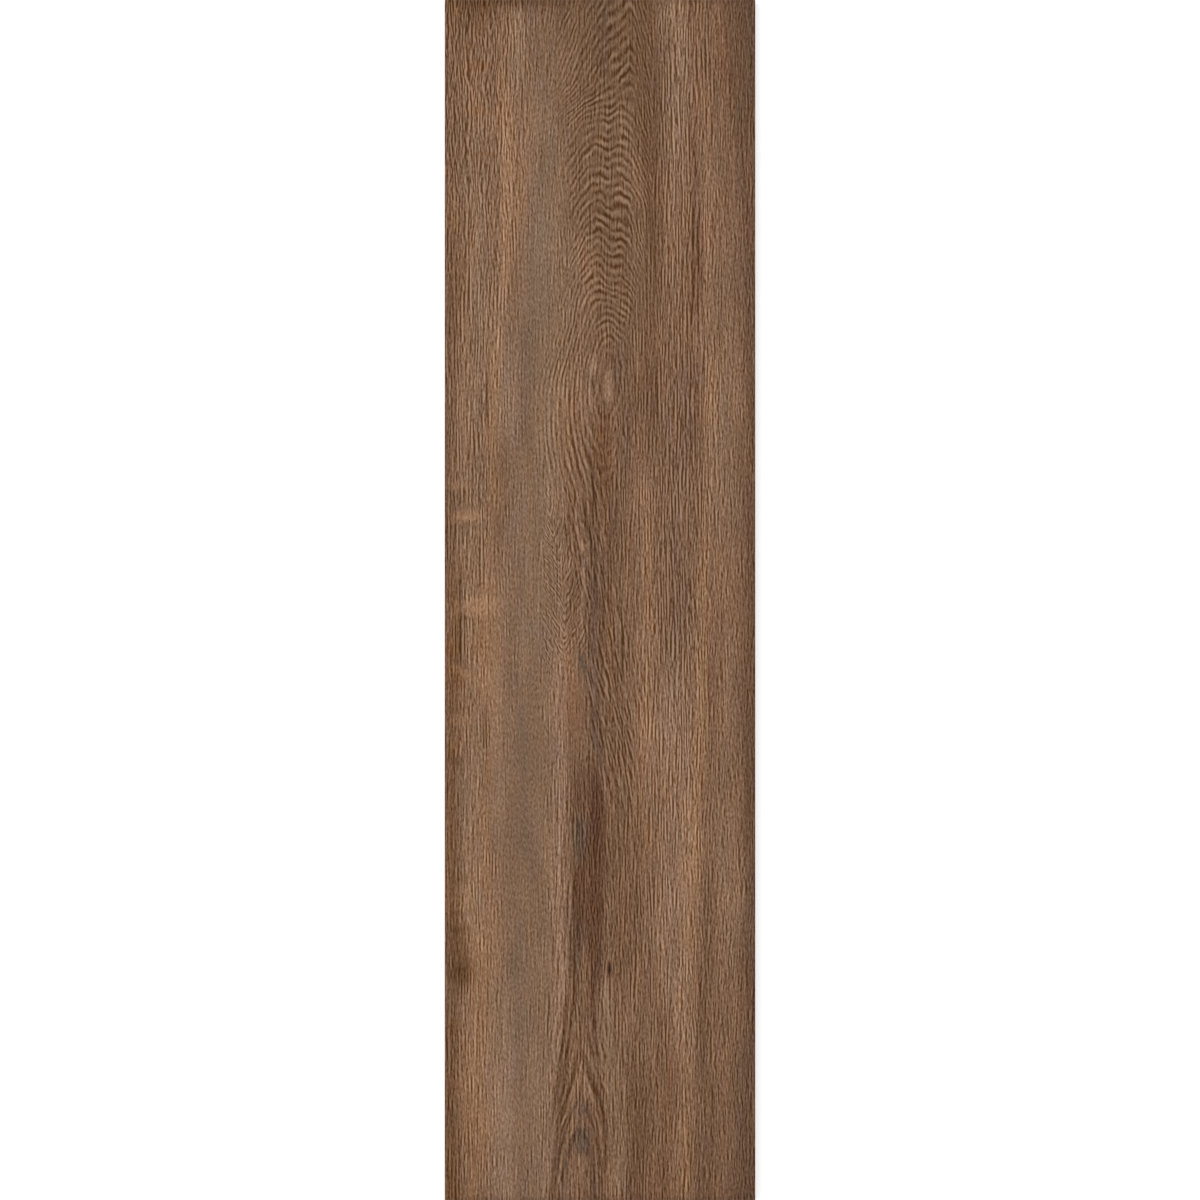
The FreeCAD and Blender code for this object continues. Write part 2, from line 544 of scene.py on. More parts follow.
    strokes: tuple[Streak, ...] = (
        # Legs of the three pointed arches at the foot, right and left in turn
        Streak("#472a13", (
            (740, -15.4, 1.5, 0), (746, -13.5, 1.5, 0.52), (754, -9.9, 1.5, 0.6), (767, -3.5, 1.4, 0.52),
            (779, 0.7, 1.5, 0.6), (792, 2.8, 1.3, 0.6), (815, 3.5, 1.2, 0.6), (830, 3.3, 1.2, 0.6),
            (843, 3.5, 1.2, 0.3),
        )),
        Streak("#472a13", (
            (740, -13, 1.3, 0), (751, -17, 1.4, 0.6), (768, -20.5, 1.3, 0.5), (781, -24.8, 1.3, 0.6),
            (790, -27.6, 1.3, 0.7), (807, -30.5, 1.2, 0.75), (825, -32.6, 1.2, 0.75),
            (843, -35.4, 1.2, 0.7),
        )),
        Streak("#443022", (
            (772, -15, 1.5, 0), (778, -12.5, 1.7, 0.55), (785, -8.5, 1.7, 0.6), (795, -5, 1.4, 0.52),
            (805, -2.1, 1.3, 0.52), (818, -0.7, 1.2, 0.6), (840, -0.7, 1.2, 0.3),
        )),
        Streak("#443022", (
            (772, -13.6, 1.5, 0), (779, -16, 1.6, 0.52), (786, -18.5, 1.6, 0.52), (793, -23.4, 1.6, 0.6),
            (802, -25.5, 1.3, 0.6), (811, -27.6, 1.2, 0.65), (825, -29.7, 1.2, 0.65),
            (843, -31.9, 1.2, 0.6),
        )),
        Streak("#43332a", (
            (796, -14, 1.4, 0), (802, -12, 1.8, 0.6), (807, -8.5, 1.8, 0.55), (816, -5.7, 1.4, 0.52),
            (829, -5, 1.3, 0.6), (843, -5, 1.3, 0.6),
        )),
        Streak("#43332a", (
            (796, -14.4, 1.4, 0), (802, -16.5, 1.8, 0.6), (807, -19.8, 1.8, 0.55), (815, -22.7, 1.5, 0.6),
            (825, -24.8, 1.3, 0.6), (842, -26.9, 1.3, 0.6),
        )),
        # Outer left legs above them
        Streak("#472a13", (
            (700, -22.5, 1.2, 0), (712, -23.4, 1.3, 0.6), (730, -25.5, 1.3, 0.52), (747, -26.9, 1.4, 0.5),
            (761, -29, 1.3, 0.7), (776, -31.2, 1.3, 0.7), (790, -33.3, 1.2, 0.5), (815, -36, 1.2, 0),
        )),
        Streak("#472a13", (
            (690, -17.5, 1.2, 0), (708, -19.1, 1.3, 0.52), (733, -22, 1.3, 0.52), (754, -24.1, 1.3, 0.52),
            (768, -26.2, 1.4, 0.65), (779, -28.3, 1.3, 0.6), (797, -31.2, 1.2, 0),
        )),
        # Two dark lines near the left edge
        Streak("#4d2f15", (
            (394, -98.6, 1, 0), (406, -98.6, 1, 0.4), (440, -98.6, 1, 0.4), (462, -99, 1, 0.35),
            (472, -99, 1, 0),
        )),
        Streak("#55361b", (
            (498, -81, 1.3, 0), (508, -81.5, 1.3, 0.5), (525, -81, 1.3, 0.7), (534, -80, 1.2, 0),
        )),
        # Outlines of the eye, left and right, and of the pale patch beside it
        Streak("#583e2c", (
            (250, 8, 1.1, 0), (256, 6, 1.2, 0.5), (263, 2.6, 1.2, 0.55), (274, 0.6, 1.1, 0.5),
            (283, 1.2, 1.1, 0.55), (291, 4, 1.2, 0.5), (297, 6, 1.1, 0),
        )),
        Streak("#583e2c", (
            (250, 7.5, 1.1, 0), (256, 9, 1.2, 0.5), (264, 10.4, 1.2, 0.5), (280, 10.6, 1.1, 0.5),
            (288, 9, 1.2, 0.55), (296, 6.5, 1.1, 0),
        )),
        Streak("#583e2c", (
            (245, -4, 1.1, 0), (251, -1.5, 1.2, 0.5), (259, -0.6, 1.2, 0.5), (268, -2.5, 1.2, 0.5),
            (276, -5, 1.1, 0),
        )),
        # Dark lines below the eye, one across the brown patch and two in the pale brown spindle
        Streak("#4d3322", (
            (306, -11, 1.2, 0), (315, -9.5, 1.3, 0.5), (326, -7, 1.4, 0.6), (334, -5, 1.5, 0.6),
            (343, -5, 1.3, 0),
        )),
        Streak("#4d3322", (
            (348, -6.4, 1.2, 0), (358, -5.4, 1.3, 0.5), (376, -3.4, 1.3, 0.5), (397, -2, 1.2, 0),
        )),
        Streak("#442b1c", (
            (352, -13, 1.2, 0), (360, -11.5, 1.4, 0.7), (372, -8.5, 1.4, 0.8), (389, -5.7, 1.4, 0.7),
            (398, -5, 1.2, 0),
        )),
    )
    fray: tuple[Drift, ...] = (Drift(4.0, 60.0, 11, 1.6), Drift(2.0, 25.0, 12, 0.9))
    shade: tuple[Drift, ...] = (
        Drift(4.5, 40.0, 21, 0.08),
        Drift(9.0, 22.0, 22, 0.08),
        Drift(14.0, 60.0, 25, 0.05),
    )
    warmth: tuple[Drift, ...] = (Drift(7.0, 50.0, 23, 0.04), Drift(3.5, 12.0, 24, 0.04))
    warmth_shares: tuple[float, float, float] = (0.6, 0.0, -1.0)
    rim_shade_colour: str = "#4f331f"
    rim_shade_width: float = 2.5
    rim_shade_strength: float = 0.5

    def at(self, across: np.ndarray, down: np.ndarray, inset: np.ndarray) -> np.ndarray:
        """Paints the broad tones, and over them painted shade towards the sides of the tile.

        Args:
            across: distances from the middle line.
            down: distances from the head edge.
            inset: distances from the nearest side of the tile.

        Returns:
            Linear red, green and blue at each place.
        """
        frayed = across + total(self.fray, across, down)
        tone = np.tile(linear(self.ground), (len(across), 1))
        layers = [(layer, frayed) for layer in self.streaks + self.spots]
        layers += [(stroke, across) for stroke in self.strokes]
        for layer, places in layers:
            cover = np.clip(layer.at(places, down), 0, 1)[:, None]
            tone = tone * (1 - cover) + np.array(linear(layer.colour)) * cover
        shade = total(self.shade, across, down)[:, None]
        warmth = total(self.warmth, across, down)[:, None]
        tone = tone * (1 + shade) * (1 + warmth * np.array(self.warmth_shares))
        # Painted shade: the print darkens towards every side of the tile, most at the arris.
        rim_shade = self.rim_shade_strength * np.exp(-inset / self.rim_shade_width)[:, None]
        return tone * (1 - rim_shade) + np.array(linear(self.rim_shade_colour)) * rim_shade


@dataclass(frozen=True)
class ArchTops:
    """Shape of the arches over one stretch of the plank.

    Attributes:
        drop: rings by which an arch has dropped below its highest point, across the plank.
        foot: where down the plank this shape starts and ends to give way to the next.
    """

    drop: Course
    foot: tuple[float, float]


@dataclass(frozen=True)
class RingField:
    """Count of growth rings where they show as nested arches.

    The rings are counted from the heart of the log.  Its line wanders across the plank and comes up to the
    face at an eye, from which the arches open.

    Attributes:
        heart: place of the heart line, across the plank.
        climb: rings between the heart line and the face, nothing at an eye.
        left_pitch: width of a ring to the left of the heart.
        right_pitch: width of a ring to the right of the heart.
        roundness: how round the arches are at their tops, 1 for points and 2 for ellipses.
        waver: short waves of the arches, in rings.
        stray: long waves of the ring lines, in rings.
        tops: shapes of the arches above the eye where they are not round it, the lowest first.
        waver_rise: rings from an eye between which the short waves grow.
    """

    heart: Course
    climb: Course
    left_pitch: Course
    right_pitch: Course
    roundness: float
    waver: tuple[Drift, ...]
    stray: Drift
    tops: tuple[ArchTops, ...] = ()
    waver_rise: tuple[float, float] = (0.5, 3.0)

    def offset(self, across: np.ndarray, down: np.ndarray) -> np.ndarray:
        """Gives the distance across from the heart line at each place."""
        return across - self.heart.at(down)

    def count(self, across: np.ndarray, down: np.ndarray) -> np.ndarray:
        """Counts the rings.

        Args:
            across: distances from the middle line.
            down: distances from the head edge.

        Returns:
            The ring count at each place, with a whole number on each dark line.
        """
        offset = self.offset(across, down)
        pitch = np.where(offset < 0, self.left_pitch.at(down), self.right_pitch.at(down))
        climb = self.climb.at(down)
        waves = total(self.waver, across, down)
        climb = climb + waves * ease(climb, *self.waver_rise)
        climb = np.maximum(climb, 0)
        power = np.abs(offset / pitch) ** self.roundness + climb ** self.roundness
        drop = power ** (1 / self.roundness) - climb
        for tops in self.tops:
            share = 1 - ease(down, *tops.foot)
            drop = drop * (1 - share) + tops.drop.at(across) * share
        return climb + drop + self.stray.at(across, down)


@dataclass(frozen=True)
class OakFigure:
    """Figure of the oak print: its line counts, and where each kind of line shows.

    Attributes:
        arches: ring field of the arches in the upper half.
        arch_left: left edge of these arches.
        arch_right: right edge of these arches.
        arch_fade: distances over which they fade out to the left and to the right.
        arch_foot: where down the plank they end.
        arch_gaps: patches where they are faint.
        foot: ring field of the arches at the foot.
        foot_head: where the arches of the foot fade in, left of their heart.
        foot_right_head: how much further down they fade in right of it.
        foot_right_side: distances from their heart between which that takes effect.
        foot_half_width: half of their width.
        foot_edge: steepness of their sides.
        foot_core: distances from their heart between which their fine lines fade in.
        ridge: left edge of the leaning lines, down from the eye.
        ridge_fade: distance to each side of the ridge over which they fade in.
        lean_right: where the leaning lines have half faded out to the right.
        lean_fade: distance to each side over which they fade.
        lean_span: where down the plank they fade in and fade out.
        lean: how far the grain has leant to the right, down the plank.
        lean_sides: where across the lean starts to lessen, and where it ends.
        lean_pitch: distance between two leaning lines.
        valley: line to which the chevrons left of the ridge point.
        chevron_slope: slope of the chevrons.
        chevron_pitch: distance down between two chevrons.
        chevron_stray: noise that makes the chevrons uneven, in chevrons.
        chevron_span: where down the plank they fade in and fade out.
        chevron_left: where they fade out to the left.
        chevron_right: distances from the ridge between which they fade out to the right.
        fibre_pitch: distance between two long lines of straight grain.
        fine_pitch: distance between two short lines of straight grain.
        sway: noises that bend the straight grain.
        weight: patches where the straight grain is fainter, below nought, or bolder, above it.
        drawn_loss: share of the straight grain that is lost under the other lines.
        flecks: ray flecks, inside which all straight grain fades.
        short_grain: patches where short wavy dashes take the place of long lines.
        short_sway: noise that bends these dashes.
        long_loss: share of the long lines that is lost in such a patch.
        short_base: share of the dashes outside such a patch.
        short_gain: how much that share grows inside it.
    """

    arches: RingField = RingField(
        heart=Course(((190, 2), (220, 3.5), (237, 6.5), (272, 6), (312, 2), (345, -2))),
        climb=Course((
            (0, 38.8), (78, 29.6), (157, 18), (202, 10.8), (241, 3.5), (253, 1.8), (269, 0.5), (297, 3.2),
            (345, 8),
        ), 8.0),
        left_pitch=Course(((190, 2.3), (240, 2.5), (272, 3.1), (319, 3.1), (345, 2.8))),
        right_pitch=Course(((190, 3.2), (240, 3), (272, 3.2), (345, 3.2))),
        roundness=1.7,
        waver=(Drift(5.0, 24.0, 3, 0.18), Drift(3.0, 8.0, 5, 0.16)),
        stray=Drift(6.0, 60.0, 4, 0.12),
        tops=(
            # Highest left of the middle, with a shoulder on the right
            ArchTops(Course((
                (-35, 10.5), (-28, 7.3), (-23.4, 5.3), (-20.5, 4.1), (-17.7, 3.1), (-14.2, 1.95),
                (-10.6, 0.9), (-7, 0.35), (-2, 0), (2, 0.25), (5.7, 0.8), (9.2, 1.15), (14.9, 1.05),
                (17.7, 1.4), (20.5, 1.95), (23.4, 2.9), (26.2, 4), (29, 5.3), (31.9, 6.7), (35.4, 8.5),
            ), 1.5), (195.0, 230.0)),
            # Broad, with two low lobes
            ArchTops(Course((
                (-35.4, 8), (-28.3, 5.7), (-21.2, 3.4), (-17, 2.4), (-12.7, 1.3), (-8.5, 0.65), (-3.5, 0.1),
                (1.4, 0.2), (5.7, 0.7), (10.6, 0.2), (15.6, 0.1), (19.8, 0.57), (23.4, 1.2), (26.9, 2.3),
                (30.5, 3.6), (34, 5.1), (36.8, 6.6),
            ), 1.5), (140.0, 170.0)),
            # Pointed, with long straight legs
            ArchTops(Course((
                (-35.4, 13), (-28.3, 10.6), (-21.2, 8.3), (-14.2, 6.1), (-7.1, 4.25), (0, 2.65), (7.1, 1.7),
                (14.2, 0.95), (17.7, 0.57), (21, 0), (24.8, 0.75), (28.3, 2.1), (31.9, 3.6), (35.4, 5.2),
                (39, 6.8),
            ), 1.0), (55.0, 92.0)),
        ),
    )
    arch_left: Course = Course((
        (0, -31), (60, -29), (100, -22), (180, -19), (225, -26), (260, -40), (310, -44), (330, -38),
    ))
    arch_right: Course = Course((
        (0, 37), (130, 36.5), (160, 34), (200, 27), (240, 18), (290, 16), (330, 12),
    ))
    arch_fade: tuple[float, float] = (9.0, 3.0)
    arch_foot: tuple[float, float] = (330.0, 358.0)
    arch_gaps: tuple[Patch, ...] = (
        Patch(5.5, 270, 4.5, 17, -0.9),
        Patch(9, 262, 14, 34, -0.4),
        Patch(8, 318, 18, 30, -0.7),
        Patch(0, 72, 34, 28, -0.2),
    )
    foot: RingField = RingField(
        heart=Course(((560, -11), (610, -9), (650, -10), (703, -12), (746, -14), (850, -14.5))),
        climb=Course((
            (560, 9), (610, 8.6), (647, 8.3), (710, 8.1), (730, 7.8), (746, 7.2), (762, 6.3), (778, 5.4),
            (790, 4.5), (800, 3.6), (815, 2.7), (850, 2.3),
        ), 5.0),
        left_pitch=Course(((600, 2.6), (708, 2.5), (744, 2.8), (778, 2.8), (800, 3.3), (843, 3.5)), 10.0),
        right_pitch=Course(((600, 2.5), (700, 2.5), (744, 3.3), (778, 4), (800, 3.3), (843, 2.9)), 10.0),
        roundness=1.5,
        waver=(Drift(5.0, 24.0, 3, 0.12),),
        stray=Drift(6.0, 60.0, 4, 0.15),
    )
    foot_head: tuple[float, float] = (570.0, 630.0)
    foot_right_head: float = 90.0
    foot_right_side: tuple[float, float] = (-9.0, -2.0)
    foot_half_width: float = 23.0
    foot_edge: int = 4
    foot_core: tuple[float, float] = (2.0, 9.0)
    ridge: Course = Course((
        (310, -20), (352, -27), (373, -26), (390, -22), (402, -18), (418, -16), (440, -13), (467, -10),
        (500, -8), (540, -4), (570, -2),
    ), 6.0)
    ridge_fade: float = 3.0
    lean_right: Course = Course(((300, 0), (340, 3), (400, 8), (440, 18), (480, 28), (560, 28), (600, 24)))
    lean_fade: float = 7.0
    lean_span: tuple[float, float, float, float] = (300.0, 345.0, 560.0, 610.0)
    lean: Course = Course(((300, -24.4), (345, -15.4), (455, 0), (470, 2.1), (560, 21.9), (620, 25)))
    lean_sides: tuple[float, float] = (20.0, 80.0)
    lean_pitch: float = 3.3
    valley: Course = Course((
        (352, -37.5), (365, -35.4), (382, -32.6), (394, -29.8), (404, -27), (418, -26), (432, -25),
        (446, -25.5), (457, -25), (471, -23.5), (489, -22),
    ), 4.0)
    chevron_slope: Course = Course(((345, 4), (365, 2.6), (390, 2.0), (430, 1.8), (470, 1.5)), 8.0)
    chevron_pitch: float = 4.6
    chevron_stray: Drift = Drift(4.0, 14.0, 6, 0.4)
    chevron_span: tuple[float, float, float, float] = (336.0, 356.0, 455.0, 482.0)
    chevron_left: tuple[float, float] = (-44.0, -36.0)
    chevron_right: tuple[float, float] = (-1.0, 5.0)
    fibre_pitch: float = 2.5
    fine_pitch: float = 2.35
    sway: tuple[Drift, ...] = (Drift(7.0, 60.0, 7, 0.6), Drift(3.0, 24.0, 8, 0.15))
    weight: tuple[Patch, ...] = (
        Patch(-45, 130, 14, 130, -0.5),
        Patch(-50, 400, 19, 220, -0.7),
        Patch(-54, 720, 22, 200, -0.65),
        Patch(94, 425, 20, 600, -0.35),
        Patch(38, 140, 4, 150, -0.4),
        Patch(-29, 80, 12, 110, -0.35),
        Patch(5.5, 271, 5, 17, -0.9),
        Patch(-5.5, 262, 4, 11, -0.6),
        Patch(-11, 332, 5, 15, -0.5),
        Patch(-12, 375, 5, 17, -0.5),
        Patch(-17, 510, 9, 45, -0.65),
        Patch(56, 240, 20, 280, 0.5),
        Patch(52, 430, 16, 40, 0.25),
        Patch(55, 745, 25, 150, -0.1),
        Patch(-10, 620, 14, 100, 0.15),
        Patch(-90, 30, 25, 70, 0.3),
        Patch(-92, 660, 28, 200, -0.28),
        Patch(-74, 430, 6, 170, -0.45),
    )
    drawn_loss: float = 0.5
    flecks: tuple[Patch, ...] = RAY_FLECKS
    short_grain: tuple[Patch, ...] = (
        Patch(-92, 20, 34, 150, 1.0),
        Patch(-38, 60, 14, 120, 0.8),
        Patch(94, 425, 18, 700, 0.5),
        Patch(-8, 625, 14, 90, 0.6),
        Patch(4, 290, 14, 60, 0.5),
        Patch(60, 740, 34, 130, 0.3),
    )
    short_sway: Drift = Drift(5.0, 16.0, 9, 0.8)
    long_loss: float = 0.8
    short_base: float = 0.5
    short_gain: float = 0.9

    def arch_share(self, across: np.ndarray, down: np.ndarray) -> np.ndarray:
        """Tells where the upper arches show.

        Args:
            across: distances from the middle line.
            down: distances from the head edge.

        Returns:
            Their share at each place.
        """
        left_fade, right_fade = self.arch_fade
        left = self.arch_left.at(down)
        right = self.arch_right.at(down)
        share = ease(across, left - left_fade, left + left_fade) * (1 - ease(down, *self.arch_foot))
        share = share * (1 - ease(across, right - right_fade, right + right_fade))
        return share * (1 + total(self.arch_gaps, across, down)).clip(0)

    def fields(self, across: np.ndarray, down: np.ndarray) -> dict[str, np.ndarray]:
        """Works out the figure for the glaze to draw.

        Args:
            across: distances from the middle line.
            down: distances from the head edge.

        Returns:
            By name, the count of each kind of line and its share at each place.
        """
        ridge = self.ridge.at(down)
        valley = self.valley.at(down)
        arches = self.arch_share(across, down)
        foot_offset = self.foot.offset(across, down)
        foot = np.exp(-(foot_offset / self.foot_half_width) ** self.foot_edge)
        foot = foot * ease(np.abs(foot_offset), *self.foot_core)
        later = self.foot_right_head * ease(foot_offset, *self.foot_right_side)
        foot = foot * ease(down - later, *self.foot_head)
        lean_right = self.lean_right.at(down)
        lean = within(down, self.lean_span)
        lean = lean * ease(across, ridge - self.ridge_fade, ridge + self.ridge_fade)
        lean = lean * (1 - ease(across, lean_right - self.lean_fade, lean_right + self.lean_fade))
        chevrons = within(down, self.chevron_span) * ease(across, *self.chevron_left)
        chevrons = chevrons * (1 - ease(across - ridge, *self.chevron_right))
        drawn = np.clip(arches + foot + lean + chevrons, 0, 1)
        weight = (1 + total(self.weight, across, down)).clip(0)
        bare = np.clip(total(self.flecks, across, down), 0, 1)
        straight = weight * (1 - self.drawn_loss * drawn) * (1 - bare)
        short = np.clip(total(self.short_grain, across, down), 0, 1)
        fibres = across + total(self.sway, across, down)
        fibres = fibres + self.short_sway.at(across, down) * short
        leant = fibres - self.lean.at(down) * (1 - ease(across, *self.lean_sides))
        rise = self.chevron_slope.at(down) * np.abs(across - valley)
        return {
            "arch_count": self.arches.count(across, down),
            "foot_count": self.foot.count(across, down),
            "lean_count": leant / self.lean_pitch,
            "chevron_count": (down + rise) / self.chevron_pitch + self.chevron_stray.at(across, down),
            "fibre_count": fibres / self.fibre_pitch,
            "fine_count": fibres / self.fine_pitch,
            "arch_share": arches,
            "foot_share": foot,
            "lean_share": lean,
            "chevron_share": chevrons,
            "long_share": straight * (1 - self.long_loss * short),
            "short_share": straight * (self.short_base + self.short_gain * short),
        }


@dataclass(frozen=True)
class PrintedLines:
    """One kind of fine line in the oak print.

    Attributes:
        count: attribute that counts the lines.
        share: attribute that says how much they show.
        wave: strength of the even wave of the lines.
        dashes: strength of the dashes that break them up.
        spread: number of lines over which the dashes keep step.
        width: width of a cell of the dashes across the plank.
        length: length of a cell of the dashes along the plank.
        breaks: strength of the gaps along a line.
        break_length: length of a cell of the gaps.
    """

    count: str
    share: str
    wave: float
    dashes: float
    spread: float
    width: float
    length: float
    breaks: float
    break_length: float


@dataclass(frozen=True)
class PrintedMattGlaze:
    """Oak print under a matt glaze, fired onto the face.

    The glaze is a thin glassy coat with a fine crystal bloom, so it shines softly and never mirrors.  The
    print under it is opaque ink in fine dots, which the eye takes as brown wood with dark pores.

    Attributes:
        ground: brown on which the next two colours were judged.
        pore: colour of a printed pore on that ground.
        fibre: colour of a pale fibre on that ground.
        pore_strength: how strongly the pores show.
        fibre_strength: how strongly the fibres show.
        roughness: roughness of the bloom.
        gloss: level of the glaze's reflection, low because of the bloom.
        ior: refractive index of the glassy coat.
        lines: the kinds of fine line.
        dot: width and length of the print's dots, drawn coarse enough to show.
        dot_strength: strength of the dots.
        gap_spread: number of lines over which gaps lie side by side.
        cell_turn: angle by which noise cells are turned, so that they do not line up in rows.
        cell_step: distance in cells between the noises of two kinds of line, so that they differ.
        pore_depth: depth of a pore in the glaze.
    """

    ground: str = "#7d5d46"
    pore: str = "#563416"
    fibre: str = "#a28168"
    pore_strength: float = 1.15
    fibre_strength: float = 0.9
    roughness: float = 0.55
    gloss: float = 0.06
    ior: float = 1.5
    lines: tuple[PrintedLines, ...] = (
        PrintedLines("arch_count", "arch_share", 0.48, 1.5, 1.2, 8.0, 18.0, 2.2, 6.0),
        PrintedLines("foot_count", "foot_share", 0.2, 2.6, 1.2, 1000.0, 24.0, 3.5, 6.0),
        PrintedLines("lean_count", "lean_share", 0.1, 3.6, 1.2, 1000.0, 15.0, 4.0, 5.0),
        PrintedLines("chevron_count", "chevron_share", 0.1, 2.4, 1.6, 6.0, 12.0, 3.0, 4.0),
        PrintedLines("fibre_count", "long_share", 0.0, 3.25, 1.8, 1000.0, 28.0, 5.0, 7.0),
        PrintedLines("fine_count", "short_share", 0.0, 3.4, 1.3, 1000.0, 8.0, 3.2, 5.0),
    )
    dot: tuple[float, float] = (1.1, 2.8)
    dot_strength: float = 2.15
    gap_spread: float = 1.0
    cell_turn: float = 0.6
    cell_step: float = 7.0
    pore_depth: float = 0.015

    def material(self) -> bpy.types.Material:
        """Makes the material.

        Returns:
            The glaze, which reads the face's own attributes.
        """
        material = bpy.data.materials.new("porcelain_matt_glaze_oak_print")
        tree = empty_tree(material)
        # The tone holds the print's broad tones and the painted shade towards the sides of the tile.
        tone = add_node(tree, "Attribute", attribute_name="print_tone_and_rim_shade").outputs["Vector"]
        place = add_node(tree, "TexCoord").outputs["Object"]
        spot = add_node(tree, "SeparateXYZ", {0: place})
        dot_width, dot_length = self.dot
        cells = add_node(tree, "Mapping", {
            "Vector": place,
            "Rotation": (0, 0, self.cell_turn),
            "Scale": (METRE / dot_width, METRE / dot_length, 0),
        }).outputs[0]
        dots = add_node(tree, "TexNoise", {"Vector": cells, "Scale": 1.0, "Detail": 1.0}).outputs["Fac"]
        print_value = add_node(
            tree, "Math",
            {0: dots, 1: self.dot_strength, 2: -self.dot_strength * NOISE_MIDDLE},
            operation="MULTIPLY_ADD",
        ).outputs[0]
        for number, lines in enumerate(self.lines):
            count = add_node(tree, "Attribute", attribute_name=lines.count).outputs["Fac"]
            share = add_node(tree, "Attribute", attribute_name=lines.share).outputs["Fac"]
            turn = add_node(tree, "Math", {0: count, 1: 2 * math.pi}, operation="MULTIPLY").outputs[0]
            cosine = add_node(tree, "Math", {0: turn}, operation="COSINE").outputs[0]
            sine = add_node(tree, "Math", {0: turn}, operation="SINE").outputs[0]
            swing = add_node(tree, "CombineXYZ", {0: cosine, 1: sine}).outputs[0]
            along = add_node(
                tree, "CombineXYZ", {0: count, 1: spot.outputs[0], 2: spot.outputs[1]},
            ).outputs[0]
            cells = add_node(tree, "Mapping", {
                "Vector": along,
                "Location": (0, self.cell_step * number, 0),
                "Rotation": (0, self.cell_turn, 0),
                "Scale": (1 / lines.spread, METRE / lines.width, METRE / lines.length),
            }).outputs[0]
            dashes = add_node(
                tree, "TexNoise", {"Vector": cells, "Scale": 1.0, "Detail": 0.0},
            ).outputs["Color"]
            dashes = add_node(
                tree, "VectorMath", {0: dashes, 1: (NOISE_MIDDLE,) * 3}, operation="SUBTRACT",
            ).outputs[0]
            dashes = add_node(
                tree, "VectorMath", {0: dashes, 1: swing}, operation="DOT_PRODUCT",
            ).outputs["Value"]
            gaps = add_node(tree, "Mapping", {
                "Vector": along,
                "Location": (0, self.cell_step * (number + 0.5), 0),
                "Rotation": (0, self.cell_turn, 0),
                "Scale": (1 / self.gap_spread, METRE / lines.width, METRE / lines.break_length),
            }).outputs[0]
            gaps = add_node(tree, "TexNoise", {"Vector": gaps, "Scale": 1.0, "Detail": 0.0}).outputs["Fac"]
            gaps = add_node(
                tree, "Math",
                {0: gaps, 1: lines.breaks, 2: 1 - lines.breaks * NOISE_MIDDLE},
                operation="MULTIPLY_ADD",
            ).outputs[0]
            drawn = add_node(tree, "Math", {0: cosine, 1: -lines.wave}, operation="MULTIPLY").outputs[0]
            drawn = add_node(
                tree, "Math", {0: dashes, 1: lines.dashes, 2: drawn}, operation="MULTIPLY_ADD",
            ).outputs[0]
            drawn = add_node(tree, "Math", {0: drawn, 1: gaps}, operation="MULTIPLY").outputs[0]
            print_value = add_node(
                tree, "Math", {0: drawn, 1: share, 2: print_value}, operation="MULTIPLY_ADD",
            ).outputs[0]
        colour = tone
        for strength, ink in ((-self.pore_strength, self.pore), (self.fibre_strength, self.fibre)):
            ratio = np.array(linear(ink)) / linear(self.ground)
            share = add_node(
                tree, "Math", {0: print_value, 1: strength}, operation="MULTIPLY", use_clamp=True,
            ).outputs[0]
            colour = add_node(
                tree, "Mix",
                {"Factor": share, 6: colour, 7: (*ratio, 1)},
                data_type="RGBA", blend_type="MULTIPLY",
            ).outputs[2]
        bump = add_node(
            tree, "Bump", {"Height": print_value, "Distance": self.pore_depth / METRE, "Strength": 1.0},
        ).outputs[0]
        surface = add_node(tree, "BsdfPrincipled", {
            "Base Color": colour,
            "Roughness": self.roughness,
            "IOR": self.ior,
            "Specular IOR Level": self.gloss,
            "Normal": bump,
        }).outputs[0]
        add_node(tree, "OutputMaterial", {"Surface": surface})
        return material


@dataclass(frozen=True)
class FiredBiscuit:
    """Bare porcelain stoneware, as it comes from the kiln.

    The body is dense and unglazed, so it is dull and evenly beige, with a faint speckle of its minerals.

    Attributes:
        ground: colour of the fired clay.
        speckle: colour of its darker grains.
        grain: size of a grain, drawn coarse enough to show.
        speckle_range: values of the noise between which a grain grows darker.
        roughness: roughness of the pressed surface.
        ior: refractive index of the fired clay.
    """

    ground: str = "#b3a28e"
    speckle: str = "#8f7c68"
    grain: float = 0.7
    speckle_range: tuple[float, float] = (0.5, 0.75)
    roughness: float = 0.85
    ior: float = 1.5

    def material(self) -> bpy.types.Material:
        """Makes the material.

        Returns:
            The biscuit.
        """
        material = bpy.data.materials.new("porcelain_fired_biscuit")
        tree = empty_tree(material)
        place = add_node(tree, "TexCoord").outputs["Object"]
        grains = add_node(
            tree, "TexNoise", {"Vector": place, "Scale": METRE / self.grain, "Detail": 2.0},
        ).outputs["Fac"]
        low, high = self.speckle_range
        share = add_node(
            tree, "MapRange", {"Value": grains, "From Min": low, "From Max": high},
        ).outputs[0]
        colour = add_node(
            tree, "Mix",
            {"Factor": share, 6: (*linear(self.ground), 1), 7: (*linear(self.speckle), 1)},
            data_type="RGBA",
        ).outputs[2]
        surface = add_node(
            tree, "BsdfPrincipled", {"Base Color": colour, "Roughness": self.roughness, "IOR": self.ior},
        ).outputs[0]
        add_node(tree, "OutputMaterial", {"Surface": surface})
        return material


